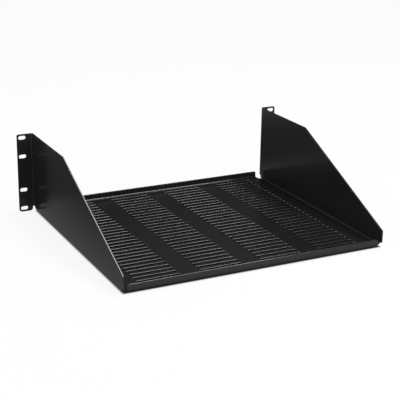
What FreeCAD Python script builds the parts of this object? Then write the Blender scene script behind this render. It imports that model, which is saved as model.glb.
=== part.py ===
"""Cantilever rack shelf: one steel sheet, cut, slotted and folded.

X runs across the rack, Y from the rack rails to the open end of the tray, Z is up.
The origin is the centre of the rack-hole pattern, on the face of the ears that meets the rails.
"""
import FreeCAD, Part
import math
import os

from FreeCAD import Vector

os.makedirs("parts", exist_ok=True)

# --- Sheet ---
sheet = 2.0                  # thickness of the steel
bend_inside = 2.0            # inside radius of every bend
bend_outside = bend_inside + sheet

# --- Tray and walls ---
tray_depth = 381.0           # rail face of the ears to the open end of the walls
level_length = 148.0         # length of wall that stays level behind the ears
open_end_height = 25.4       # wall height at the open end
wall_crown_radius = 3.0      # corners of the wall outline

# --- Ears and the rack-hole pattern (19 inch rack, heights in whole units) ---
ear_span = 482.6             # over the two ears
ear_width = 25.4             # outside of a wall to the outer edge of its ear
unit_height = 44.45
unit_count = 3
panel_clearance = 0.85       # an ear is this much shorter than its rack units
ear_top_radius = 3.0
ear_bottom_radius = 5.0
hole_edge_distance = 8.75    # middle of a rack hole to the outer edge of its ear
hole_end_offset = 6.35       # end of the rack units to the nearest hole
hole_step = 31.75            # outer hole to inner hole
rack_slot_length = 12.4
rack_slot_height = 6.4
tray_lift = 1.6              # underside of the tray above the ears' lower edge

# --- Turned-up lips across both ends of the tray ---
lip_height = 12.0            # from the underside of the tray
lip_setback = 1.0            # open-end lip behind the ends of the walls
lip_corner_radius = 4.0
open_lip_gap = 4.4           # each end of the open-end lip to the wall beside it

# --- Corner reliefs, where two bends meet ---
relief_radius = 6.0
notch_width = 7.0            # notch in the tray beside each end of the rack-end lip
notch_depth = 13.3           # from the rail face to the round end of the notch
notch_bite = 1.5             # how far the notch runs into the wall's bend

# --- Slots in the tray ---
slot_length = 70.0
slot_width = 6.0
row_pitch = 12.5
column_pitch = 100.0
first_row = 16.9             # rail face to the first row of slots
slot_end_margin = 3.0        # least flat metal between a slot and a bend, along Y
slot_side_margin = 15.0      # the same along X
slot_end_flats = 6           # each round end of a slot is drawn as this many flats

# --- Places that follow from the sizes above ---
tray_width = ear_span - 2 * ear_width        # over the outside of the two walls
hole_spacing = ear_span - 2 * hole_edge_distance
ear_height = unit_count * unit_height - panel_clearance
crown = ear_height / 2                       # upper edge of the ears and of the level wall
underside = -ear_height / 2 + tray_lift
floor = underside + sheet
wall_outer = tray_width / 2
wall_inner = wall_outer - sheet
flat_half = wall_outer - bend_outside        # where the tray's flat meets the side bends
open_lip_face = tray_depth - lip_setback
open_flat_end = open_lip_face - bend_outside
open_lip_half = wall_inner - open_lip_gap
rack_lip_half = flat_half + notch_bite - notch_width
cut_margin = 5.0                             # how far a cutting tool overshoots the sheet


def rounded_wire(corners, to_space):
    """Closed outline through (a, b, radius) corners; to_space turns (a, b) into a Vector."""
    count = len(corners)
    starts = []
    ends = []
    middles = []
    for index in range(count):
        a, b, radius = corners[index]
        before = corners[index - 1]
        after = corners[(index + 1) % count]
        to_before = Vector(before[0] - a, before[1] - b, 0).normalize()
        to_after = Vector(after[0] - a, after[1] - b, 0).normalize()
        half_angle = to_before.getAngle(to_after) / 2
        reach = radius / math.tan(half_angle)
        bisector = (to_before + to_after).normalize()
        corner = Vector(a, b, 0)
        starts.append(corner + to_before * reach)
        ends.append(corner + to_after * reach)
        middles.append(corner + bisector * (radius / math.sin(half_angle) - radius))
    edges = []
    for index in range(count):
        if corners[index][2] > 0:
            arc_points = [to_space(p.x, p.y) for p in (starts[index], middles[index], ends[index])]
            edges.append(Part.Arc(*arc_points).toShape())
        following = starts[(index + 1) % count]
        run = Part.LineSegment(to_space(ends[index].x, ends[index].y), to_space(following.x, following.y))
        edges.append(run.toShape())
    return Part.Wire(edges)


def extruded(corners, to_space, travel):
    return Part.Face(rounded_wire(corners, to_space)).extrude(travel)


def in_xz(depth):
    return lambda a, b: Vector(a, depth, b)


def in_yz(across):
    return lambda a, b: Vector(across, a, b)


def obround(length, width, to_space, travel):
    """A round-ended bar about the local origin, length along a."""
    end = length / 2 - width / 2
    side = width / 2
    edges = [
        Part.LineSegment(to_space(-end, -side), to_space(end, -side)).toShape(),
        Part.Arc(to_space(end, -side), to_space(end + side, 0), to_space(end, side)).toShape(),
        Part.LineSegment(to_space(end, side), to_space(-end, side)).toShape(),
        Part.Arc(to_space(-end, side), to_space(-end - side, 0), to_space(-end, -side)).toShape(),
    ]
    return Part.Face(Part.Wire(edges)).extrude(travel)


def light_obround(length, width, to_space, travel):
    """The same bar with few faces, for what repeats many times: flats inscribed in the round ends."""
    side = width / 2
    half_outline = []
    for step in range(slot_end_flats + 1):
        angle = math.pi * (step / slot_end_flats - 0.5)
        half_outline.append((length / 2 - side + side * math.cos(angle), side * math.sin(angle)))
    outline = half_outline + [(-a, -b) for a, b in half_outline]
    corners = [to_space(a, b) for a, b in outline]
    return Part.Face(Part.makePolygon(corners + corners[:1])).extrude(travel)


def both_sides(shape):
    return [shape, shape.mirror(Vector(0, 0, 0), Vector(1, 0, 0))]


def make_channel():
    """Tray and both walls, folded up along Y, with the walls cut to their outline."""
    start = bend_inside          # the ears' bends end here and the walls begin
    section = [
        (-wall_outer, crown, 0),
        (-wall_outer, underside, bend_outside),
        (wall_outer, underside, bend_outside),
        (wall_outer, crown, 0),
        (wall_inner, crown, 0),
        (wall_inner, floor, bend_inside),
        (-wall_inner, floor, bend_inside),
        (-wall_inner, crown, 0),
    ]
    channel = extruded(section, in_xz(start), Vector(0, tray_depth - start, 0))
    outline = [
        (start, underside - cut_margin, 0),
        (start, crown, 0),
        (level_length, crown, wall_crown_radius),
        (tray_depth, underside + open_end_height, wall_crown_radius),
        (tray_depth, underside - cut_margin, 0),
    ]
    return channel.common(extruded(outline, in_yz(-wall_outer), Vector(tray_width, 0, 0)))


def make_ears():
    """Both ears, each with the upright bend that joins it to its wall."""
    inner_edge = wall_outer + bend_inside
    bend_foot = underside + relief_radius
    ear = extruded(
        [
            (inner_edge, -ear_height / 2, ear_bottom_radius),
            (ear_span / 2, -ear_height / 2, ear_bottom_radius),
            (ear_span / 2, crown, ear_top_radius),
            (inner_edge, crown, 0),
        ],
        in_xz(-sheet),
        Vector(0, sheet, 0),
    )
    outer_hole = unit_count * unit_height / 2 - hole_end_offset
    inner_hole = outer_hole - hole_step
    for height in (-outer_hole, -inner_hole, inner_hole, outer_hole):
        place = lambda a, b: Vector(hole_spacing / 2 + a, -sheet - cut_margin, height + b)
        travel = Vector(0, sheet + 2 * cut_margin, 0)
        ear = ear.cut(obround(rack_slot_length, rack_slot_height, place, travel))
    bend = quarter_bend(
        Vector(inner_edge, bend_inside, bend_foot), Vector(-1, 0, 0), Vector(0, -1, 0), crown - bend_foot
    )
    return both_sides(ear.fuse(bend))


def quarter_bend(centre, first, second, length):
    """A right-angle bend about centre, from direction first to direction second. Its length runs
    along the bend line, towards first x second."""
    diagonal = (first + second).normalize()
    edges = [
        Part.Arc(*[centre + way * bend_outside for way in (first, diagonal, second)]).toShape(),
        Part.LineSegment(centre + second * bend_outside, centre + second * bend_inside).toShape(),
        Part.Arc(*[centre + way * bend_inside for way in (second, diagonal, first)]).toShape(),
        Part.LineSegment(centre + first * bend_inside, centre + first * bend_outside).toShape(),
    ]
    return Part.Face(Part.Wire(edges)).extrude(first.cross(second) * length)


def make_lip(half_length, outer_face, outward):
    """A lip turned up across one end of the tray. outward is +1 or -1, the way it faces along Y."""
    bend_height = underside + bend_outside
    bend_start = Vector(-outward * half_length, outer_face - outward * bend_outside, bend_height)
    bend = quarter_bend(bend_start, Vector(0, 0, -1), Vector(0, outward, 0), 2 * half_length)
    flange = extruded(
        [
            (-half_length, bend_height, 0),
            (half_length, bend_height, 0),
            (half_length, underside + lip_height, lip_corner_radius),
            (-half_length, underside + lip_height, lip_corner_radius),
        ],
        in_xz(outer_face),
        Vector(0, -outward * sheet, 0),
    )
    return flange.fuse(bend)


def make_open_end_cuts():
    """What the corner reliefs and the lip's bend take off the open end of the channel."""
    flat_end_corner = Vector(-flat_half, open_flat_end, underside - cut_margin)
    flat_end = Part.makeBox(2 * flat_half, tray_depth, sheet + 2 * cut_margin, flat_end_corner)
    through_wall = Part.makeCylinder(
        relief_radius,
        wall_outer + cut_margin - open_lip_half,
        Vector(open_lip_half, tray_depth, underside),
        Vector(1, 0, 0),
    )
    through_tray = Part.makeCylinder(
        relief_radius,
        bend_outside + cut_margin,
        Vector(wall_inner, open_lip_face, underside - cut_margin),
        Vector(0, 0, 1),
    )
    return [flat_end] + both_sides(through_wall) + both_sides(through_tray)


def make_lip_reliefs():
    """Rounds off the lower corners of the open-end lip, where its bend meets the relief."""
    through_lip = Part.makeCylinder(
        relief_radius,
        bend_outside + 2 * cut_margin,
        Vector(wall_inner, open_flat_end - cut_margin, underside),
        Vector(0, 1, 0),
    )
    return both_sides(through_lip)


def make_rack_end_cuts():
    """The round-ended notches beside the rack-end lip, and the reliefs at the feet of the walls."""
    half_notch = notch_width / 2
    notch_centre = rack_lip_half + half_notch
    place = lambda a, b: Vector(notch_centre + b, a, underside - cut_margin)
    notch = obround(2 * notch_depth, notch_width, place, Vector(0, 0, sheet + 2 * cut_margin))
    through_wall = Part.makeCylinder(
        relief_radius,
        wall_outer + cut_margin - rack_lip_half,
        Vector(rack_lip_half, 0, underside),
        Vector(1, 0, 0),
    )
    return both_sides(notch) + both_sides(through_wall)


def make_slots():
    """Rows of round-ended slots across the tray, as many as its flat takes."""
    last_row_limit = open_flat_end - slot_end_margin - slot_width / 2
    row_count = int((last_row_limit - first_row) / row_pitch) + 1
    row_room = 2 * (flat_half - slot_side_margin) - slot_length
    column_count = int(row_room / column_pitch) + 1
    slots = []
    for row in range(row_count):
        depth = first_row + row * row_pitch
        for column in range(column_count):
            across = (column - (column_count - 1) / 2) * column_pitch
            place = lambda a, b: Vector(across + a, depth + b, underside - cut_margin)
            slots.append(light_obround(slot_length, slot_width, place, Vector(0, 0, sheet + 2 * cut_margin)))
    return slots


def make_shelf():
    channel = make_channel().cut(make_open_end_cuts() + make_rack_end_cuts())
    open_lip = make_lip(open_lip_half, open_lip_face, 1).cut(make_lip_reliefs())
    rack_lip = make_lip(rack_lip_half, -sheet, -1)
    folded = channel.fuse([open_lip, rack_lip] + make_ears())
    shelf = folded.cut(make_slots()).removeSplitter()
    return shelf


folded_shelf = make_shelf()
folded_shelf.exportStep("parts/folded_shelf.step")
print("solids", len(folded_shelf.Solids), "valid", folded_shelf.isValid(), "volume", round(folded_shelf.Volume))
print("box", folded_shelf.BoundBox)
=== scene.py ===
import math

import bmesh
import bpy
from mathutils import Matrix, Vector


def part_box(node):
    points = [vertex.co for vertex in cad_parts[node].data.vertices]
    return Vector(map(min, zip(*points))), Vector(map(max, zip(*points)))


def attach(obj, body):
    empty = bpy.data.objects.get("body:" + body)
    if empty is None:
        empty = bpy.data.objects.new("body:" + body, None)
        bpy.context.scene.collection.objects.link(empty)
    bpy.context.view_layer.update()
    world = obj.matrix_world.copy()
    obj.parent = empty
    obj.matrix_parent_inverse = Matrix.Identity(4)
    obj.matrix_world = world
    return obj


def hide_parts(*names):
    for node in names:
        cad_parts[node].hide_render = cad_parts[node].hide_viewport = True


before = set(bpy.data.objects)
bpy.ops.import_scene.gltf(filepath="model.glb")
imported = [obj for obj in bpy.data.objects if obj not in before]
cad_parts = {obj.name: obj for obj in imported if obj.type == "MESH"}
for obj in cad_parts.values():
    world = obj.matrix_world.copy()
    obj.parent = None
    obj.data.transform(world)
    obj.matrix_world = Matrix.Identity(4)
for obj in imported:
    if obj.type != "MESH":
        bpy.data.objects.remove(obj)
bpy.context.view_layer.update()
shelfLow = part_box("folded_shelf")[0]
print("frame loaded")


# --- small helpers for node trees ---

def newMaterial(name):
    mat = bpy.data.materials.new(name)
    mat.use_nodes = True
    mat.node_tree.nodes.clear()
    return mat, mat.node_tree


def addNode(tree, kind, **values):
    node = tree.nodes.new(kind)
    for key, value in values.items():
        setattr(node, key, value)
    return node


def setInputs(node, **values):
    for key, value in values.items():
        node.inputs[key.replace("_", " ")].default_value = value


def addNoise(tree, coords, scale, detail):
    noise = addNode(tree, "ShaderNodeTexNoise")
    setInputs(noise, Scale=scale, Detail=detail)
    tree.links.new(coords, noise.inputs["Vector"])
    return noise.outputs["Fac"]


def ramp(tree, source, start, end, low, high):
    node = addNode(tree, "ShaderNodeMapRange")
    setInputs(node, From_Min=start, From_Max=end, To_Min=low, To_Max=high)
    tree.links.new(source, node.inputs["Value"])
    return node.outputs["Result"]


def combine(tree, operation, first, second):
    node = addNode(tree, "ShaderNodeMath", operation=operation)
    tree.links.new(first, node.inputs[0])
    tree.links.new(second, node.inputs[1])
    return node.outputs["Value"]


def addSplit(tree, space):
    split = addNode(tree, "ShaderNodeSeparateXYZ")
    coords = addNode(tree, "ShaderNodeTexCoord").outputs[space]
    tree.links.new(coords, split.inputs["Vector"])
    return split


def mirroredRays(tree, rays):
    glossy, passing = rays.outputs["Is Glossy Ray"], rays.outputs["Is Transmission Ray"]
    return combine(tree, "MAXIMUM", glossy, passing)


# --- black powder coat ---

powderCoat = {
    "dark": (0.008, 0.0082, 0.0082),
    "light": (0.0105, 0.0107, 0.0107),
    "cloudScale": 9.0,           # slow drift of colour and gloss over the sheet
    "cloudDetail": 3.0,
    "roughLow": 0.19,
    "roughHigh": 0.23,
    "specular": 0.8,
    "peelScale": 900.0,          # orange peel, about 1 mm across
    "peelDetail": 2.0,
    "peelHeight": 0.00002,
    "peelStrength": 0.1,
}


def makePowderCoat(values):
    mat, tree = newMaterial("blackPowderCoat")
    coords = addNode(tree, "ShaderNodeTexCoord").outputs["Object"]
    cloud = addNoise(tree, coords, values["cloudScale"], values["cloudDetail"])
    peel = addNoise(tree, coords, values["peelScale"], values["peelDetail"])
    colour = addNode(tree, "ShaderNodeMix", data_type="RGBA")
    colour.inputs["A"].default_value = (*values["dark"], 1.0)
    colour.inputs["B"].default_value = (*values["light"], 1.0)
    tree.links.new(cloud, colour.inputs["Factor"])
    bump = addNode(tree, "ShaderNodeBump")
    setInputs(bump, Strength=values["peelStrength"], Distance=values["peelHeight"])
    tree.links.new(peel, bump.inputs["Height"])
    paint = addNode(tree, "ShaderNodeBsdfPrincipled")
    setInputs(paint, Specular_IOR_Level=values["specular"])
    rough = ramp(tree, cloud, 0.0, 1.0, values["roughLow"], values["roughHigh"])
    tree.links.new(colour.outputs["Result"], paint.inputs["Base Color"])
    tree.links.new(rough, paint.inputs["Roughness"])
    tree.links.new(bump.outputs["Normal"], paint.inputs["Normal"])
    output = addNode(tree, "ShaderNodeOutputMaterial")
    tree.links.new(paint.outputs["BSDF"], output.inputs["Surface"])
    return mat


# --- the folded sheet, with the soft arrises that paint leaves ---

paintedSheet = {
    "rimArris": 0.0009,          # rims of the vent slots and edges of both lips, well rounded over
    "outlineArris": 0.00035,     # walls, ears and the rack slots in them
    "arrisSteps": 4,
    "outlineFrom": 0.2117,       # from here outwards an edge belongs to a wall or an ear
    "sharpFrom": math.radians(35),
    "mergeWithin": 0.000002,
    "flatWithin": math.radians(0.5),
    "flatWeight": 100,           # broad flat faces decide the shading beside them
}


def makePaintedSheet(source, values, material):
    bm = bmesh.new()
    bm.from_mesh(source.data)
    bmesh.ops.remove_doubles(bm, verts=bm.verts, dist=values["mergeWithin"])
    bmesh.ops.dissolve_limit(
        bm, angle_limit=values["flatWithin"], verts=bm.verts, edges=bm.edges
    )
    bmesh.ops.recalc_face_normals(bm, faces=bm.faces)
    weight = bm.edges.layers.float.new("bevel_weight_edge")
    outlineWeight = values["outlineArris"] / values["rimArris"]
    for edge in bm.edges:
        if edge.is_manifold and edge.calc_face_angle() > values["sharpFrom"]:
            middle = (edge.verts[0].co + edge.verts[1].co) / 2
            edge[weight] = outlineWeight if abs(middle.x) > values["outlineFrom"] else 1.0
    mesh = bpy.data.meshes.new("paintedSheet")
    bm.to_mesh(mesh)
    bm.free()
    mesh.shade_smooth()
    piece = bpy.data.objects.new("painted_sheet", mesh)
    bpy.context.scene.collection.objects.link(piece)
    mesh.materials.append(material)
    arris = piece.modifiers.new("arris", "BEVEL")
    arris.limit_method = "WEIGHT"
    arris.width = values["rimArris"]
    arris.segments = values["arrisSteps"]
    arris.use_clamp_overlap = False
    flats = piece.modifiers.new("flatFaces", "WEIGHTED_NORMAL")
    flats.weight = values["flatWeight"]
    flats.keep_sharp = True
    return piece


blackPowder = makePowderCoat(powderCoat)
sheetPiece = makePaintedSheet(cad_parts["folded_shelf"], paintedSheet, blackPowder)
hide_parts("folded_shelf")
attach(sheetPiece, "root")
print("painted sheet made,", len(sheetPiece.data.polygons), "faces before its arrises")


# --- floor ---
# Every fade runs with the distance from the tray's own footprint.

paleFloor = {
    "radius": 30.0,
    "segments": 96,
    "footprint": ((0.0, 0.19), (0.213, 0.187)),  # its middle and half sizes
    "halfHeight": 0.001,
    "nearColour": 0.10,
    "farColour": 0.04,
    "colourTo": 0.12,
    "lampLevel": 1.3,            # light that the lamps bring to bare floor
    "underTrayShadeFade": 0.004,          # under the tray the floor's own glow is cut off: painted shade, seen through the vent slots
    "footReflectionGlow": 0.20,            # painted reflection: a glow on the floor at the foot of the walls, met only by mirrored rays
    "nearReflectionGlow": 0.02,            # the painted reflection's level from footFade outwards
    "footFade": 0.09,
    "frontReflectionGlow": 0.27,           # painted reflection: glow for mirrored rays, added in front of the open end
    "frontFrom": 0.383,
    "frontTo": 0.40,
    "farLift": 0.92,             # well away from the shelf
    "mirrorFrom": 0.35,
    "mirrorTo": 0.90,
}


def distanceFromFootprint(tree, values, height):
    (middleX, middleY), (halfX, halfY) = values["footprint"]
    steps = (
        ("SUBTRACT", (middleX, middleY, height)),
        ("ABSOLUTE", None),
        ("SUBTRACT", (halfX, halfY, values["halfHeight"])),
        ("MAXIMUM", (0.0, 0.0, 0.0)),
    )
    last = addNode(tree, "ShaderNodeTexCoord").outputs["Object"]
    for operation, value in steps:
        node = addNode(tree, "ShaderNodeVectorMath", operation=operation)
        tree.links.new(last, node.inputs[0])
        if value:
            node.inputs[1].default_value = value
        last = node.outputs["Vector"]
    length = addNode(tree, "ShaderNodeVectorMath", operation="LENGTH")
    tree.links.new(last, length.inputs[0])
    return length.outputs["Value"]


def makeFloor(values, height):
    mat, tree = newMaterial("paleFloor")
    away = distanceFromFootprint(tree, values, height)
    # painted shade: the floor gives no glow under the tray, so the slots look dark
    clear = ramp(tree, away, 0.0, values["underTrayShadeFade"], 0.0, 1.0)
    pale = ramp(
        tree, away, 0.0, values["colourTo"], values["nearColour"], values["farColour"]
    )
    rays = addNode(tree, "ShaderNodeLightPath")

    # white to the camera, less what the lamps already bring
    lift = ramp(tree, pale, 0.0, 1.0, 1.0, 1.0 - values["lampLevel"])
    seen = combine(tree, "MULTIPLY", rays.outputs["Is Camera Ray"], clear)
    seen = combine(tree, "MULTIPLY", seen, lift)

    # its level for mirrored rays, which differs from place to place: painted reflections at the
    # foot of the walls and in front of the open end, and white well away from the shelf
    paintedFootGlow = ramp(tree, away, 0.0, values["footFade"], values["footReflectionGlow"], values["nearReflectionGlow"])
    beyond = ramp(
        tree, away, values["mirrorFrom"], values["mirrorTo"], 0.0, values["farLift"]
    )
    mirrored = mirroredRays(tree, rays)
    mirrored = combine(tree, "MULTIPLY", mirrored, combine(tree, "MAXIMUM", paintedFootGlow, beyond))
    mirrored = combine(tree, "MULTIPLY", mirrored, clear)
    along = addSplit(tree, "Object").outputs["Y"]
    # painted reflection in front of the open end, seen only by glossy rays
    paintedFrontGlow = ramp(
        tree, along, values["frontFrom"], values["frontTo"], 0.0, values["frontReflectionGlow"]
    )
    paintedFrontGlow = combine(tree, "MULTIPLY", paintedFrontGlow, rays.outputs["Is Glossy Ray"])
    mirrored = combine(tree, "ADD", mirrored, paintedFrontGlow)

    glow = addNode(tree, "ShaderNodeEmission")
    tree.links.new(combine(tree, "MAXIMUM", seen, mirrored), glow.inputs["Strength"])
    diffuse = addNode(tree, "ShaderNodeBsdfDiffuse")
    tree.links.new(pale, diffuse.inputs["Color"])
    both = addNode(tree, "ShaderNodeAddShader")
    tree.links.new(diffuse.outputs["BSDF"], both.inputs[0])
    tree.links.new(glow.outputs["Emission"], both.inputs[1])
    output = addNode(tree, "ShaderNodeOutputMaterial")
    tree.links.new(both.outputs["Shader"], output.inputs["Surface"])

    bm = bmesh.new()
    bmesh.ops.create_circle(
        bm, cap_ends=True, segments=values["segments"], radius=values["radius"]
    )
    bmesh.ops.translate(bm, verts=bm.verts, vec=(*values["footprint"][0], height))
    mesh = bpy.data.meshes.new("floor")
    bm.to_mesh(mesh)
    bm.free()
    mesh.materials.append(mat)
    floor = bpy.data.objects.new("floor", mesh)
    bpy.context.scene.collection.objects.link(floor)
    return floor


makeFloor(paleFloor, shelfLow.z)
print("floor made")


# --- light ---

# a lamp with no aim shines straight down
lamps = {
    "leftStrip": {
        "place": (-0.40, 0.55, 1.5), "size": (0.26, 2.4), "power": 15.5, "aim": None,
    },
    "rightStrip": {
        "place": (-0.82, 0.55, 1.5), "size": (0.24, 2.4), "power": 13.5, "aim": None,
    },
    "frontSoftbox": {
        "place": (0.8, 2.6, 1.5), "size": (2.6, 2.0), "power": 28.0, "aim": (0.0, 0.2, 0.0),
    },
    "fillSoftbox": {
        "place": (2.0, 0.8, 1.1), "size": (2.6, 2.0), "power": 34.0, "aim": (0.0, 0.2, 0.0),
    },
}


def makeAreaLight(name, values):
    data = bpy.data.lights.new(name, "AREA")
    data.shape = "RECTANGLE"
    data.size, data.size_y = values["size"]
    data.energy = values["power"]
    lamp = bpy.data.objects.new(name, data)
    lamp.location = values["place"]
    if values["aim"]:
        line = Vector(values["aim"]) - Vector(values["place"])
        lamp.rotation_euler = line.to_track_quat("-Z", "Y").to_euler()
    bpy.context.scene.collection.objects.link(lamp)


for lampName, lampValues in lamps.items():
    makeAreaLight(lampName, lampValues)

room = {
    "lowLevel": 0.02,            # what polished paint meets a little above the horizon
    "highLevel": 0.22,
    "riseFrom": 0.33,            # sine of the height above the horizon
    "riseTo": 0.60,
    "bandFrom": 0.05,            # the white of the floor goes on this far up
    "bandTo": 0.12,
}


def makeRoom(values):
    world = bpy.data.worlds.new("studio")
    world.use_nodes = True
    tree = world.node_tree
    background = tree.nodes["Background"]
    height = addSplit(tree, "Generated").outputs["Z"]
    rays = addNode(tree, "ShaderNodeLightPath")
    level = ramp(
        tree, height, values["riseFrom"], values["riseTo"],
        values["lowLevel"], values["highLevel"],
    )
    band = ramp(tree, height, values["bandFrom"], values["bandTo"], 1.0, 0.0)
    mirrored = combine(tree, "MULTIPLY", mirroredRays(tree, rays), band)
    white = combine(tree, "MAXIMUM", rays.outputs["Is Camera Ray"], mirrored)
    background.inputs["Color"].default_value = (1.0, 1.0, 1.0, 1.0)
    tree.links.new(combine(tree, "MAXIMUM", level, white), background.inputs["Strength"])
    bpy.context.scene.world = world


makeRoom(room)
print("lights made")


# --- camera ---

camera = {
    "place": (0.7405, 1.6452, 0.5450),
    "heading": 153.13,
    "tilt": 70.94,
    "roll": 0.92,
    "lens": 97.76,
    "sensor": 36.0,
    "clipEnd": 200.0,
}


def makeCamera(values):
    data = bpy.data.cameras.new("camera")
    data.lens = values["lens"]
    data.sensor_width = values["sensor"]
    data.clip_end = values["clipEnd"]
    obj = bpy.data.objects.new("camera", data)
    turn = Matrix.Rotation(math.radians(values["heading"]), 4, "Z")
    lean = Matrix.Rotation(math.radians(values["tilt"]), 4, "X")
    roll = Matrix.Rotation(math.radians(values["roll"]), 4, "Z")
    obj.matrix_world = Matrix.Translation(values["place"]) @ turn @ lean @ roll
    bpy.context.scene.collection.objects.link(obj)
    bpy.context.scene.camera = obj


makeCamera(camera)
bpy.context.scene.view_settings.view_transform = "Standard"
print("camera made")
